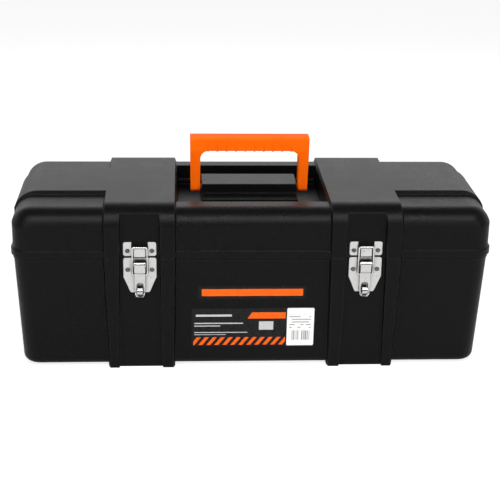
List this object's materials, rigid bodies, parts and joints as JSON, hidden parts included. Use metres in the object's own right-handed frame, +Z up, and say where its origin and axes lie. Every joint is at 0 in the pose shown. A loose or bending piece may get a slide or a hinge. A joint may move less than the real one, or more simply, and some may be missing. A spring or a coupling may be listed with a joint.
{
  "type": "tool box",
  "caption": "Moulded plastic tool box with a banded shell, a lid on rear hinges, a folding handle in a trench, draw latches on the front and a lift-out tray.",
  "frame": {"origin": "on the ground under the middle of the closed case, midway between its two ends and between the front and back faces of its bands", "axes": "+X along the case to its right end as seen from the latches, +Y from the latch side to the hinge side, +Z up"},
  "size_m": [0.66, 0.2893, 0.3],
  "materials": {
    "case_plastic": "black polypropylene with a fine moulded grain",
    "tray_plastic": "black polypropylene, smoother than the case",
    "handle_plastic": "orange moulded plastic, satin",
    "latch_steel": "pressed sheet steel, bright nickel plate",
    "pin_steel": "plain steel pins and rivets",
    "label_film": "printed label, gloss",
    "sticker_film": "white printed label",
    "badge_film": "orange label, gloss"
  },
  "bodies": {
    "tub": {"tub": "case_plastic", "front_label": "label_film", "data_sticker": "sticker_film", "front_badge": "badge_film", "tub_rivet_washers": "pin_steel", "hinge_pin_left": "pin_steel", "hinge_pin_right": "pin_steel", "latch_base_left": "latch_steel", "latch_base_right": "latch_steel", "base_rivets_left": "pin_steel", "base_rivets_right": "pin_steel", "lever_pin_left": "pin_steel", "lever_pin_right": "pin_steel"},
    "lid": {"lid": "case_plastic", "lid_rivet_washers": "pin_steel", "keeper_left": "latch_steel", "keeper_right": "latch_steel", "keeper_rivets_left": "pin_steel", "keeper_rivets_right": "pin_steel"},
    "handle": {"handle": "handle_plastic"},
    "lever_left": {"latch_lever_left": "latch_steel"},
    "lever_right": {"latch_lever_right": "latch_steel"},
    "bail_left": {"latch_bail_left": "latch_steel"},
    "bail_right": {"latch_bail_right": "latch_steel"},
    "tray": {"tray": "tray_plastic"}
  },
  "joints": [
    {"name": "lid_hinge", "type": "hinge", "parent": "tub", "child": "lid", "pos_m": [0, 0.1435, 0.167], "axis": [-1, 0, 0], "range_deg": [0, 100]},
    {"name": "handle_fold", "type": "hinge", "parent": "lid", "child": "handle", "pos_m": [0, 0.008, 0.225], "axis": [-1, 0, 0], "range_deg": [0, 90]},
    {"name": "tray_lift", "type": "slide", "parent": "tub", "child": "tray", "axis": [0, 0, 1], "range_m": [0, 0.02]},
    {"name": "lever_left_pivot", "type": "hinge", "parent": "tub", "child": "lever_left", "pos_m": [-0.1544, -0.134, 0.1575], "axis": [-1, 0, 0], "range_deg": [0, 150]},
    {"name": "bail_left_pivot", "type": "hinge", "parent": "lever_left", "child": "bail_left", "pos_m": [-0.1544, -0.1319, 0.1418], "axis": [-1, 0, 0], "range_deg": [-172.5, 0]},
    {"name": "lever_right_pivot", "type": "hinge", "parent": "tub", "child": "lever_right", "pos_m": [0.1544, -0.134, 0.1575], "axis": [-1, 0, 0], "range_deg": [0, 150]},
    {"name": "bail_right_pivot", "type": "hinge", "parent": "lever_right", "child": "bail_right", "pos_m": [0.1544, -0.1319, 0.1418], "axis": [-1, 0, 0], "range_deg": [-172.5, 0]}
  ],
  "couplings": [
    {"joint": "bail_left_pivot", "follows": "lever_left_pivot", "ratio": -1.15},
    {"joint": "bail_right_pivot", "follows": "lever_right_pivot", "ratio": -1.15}
  ]
}
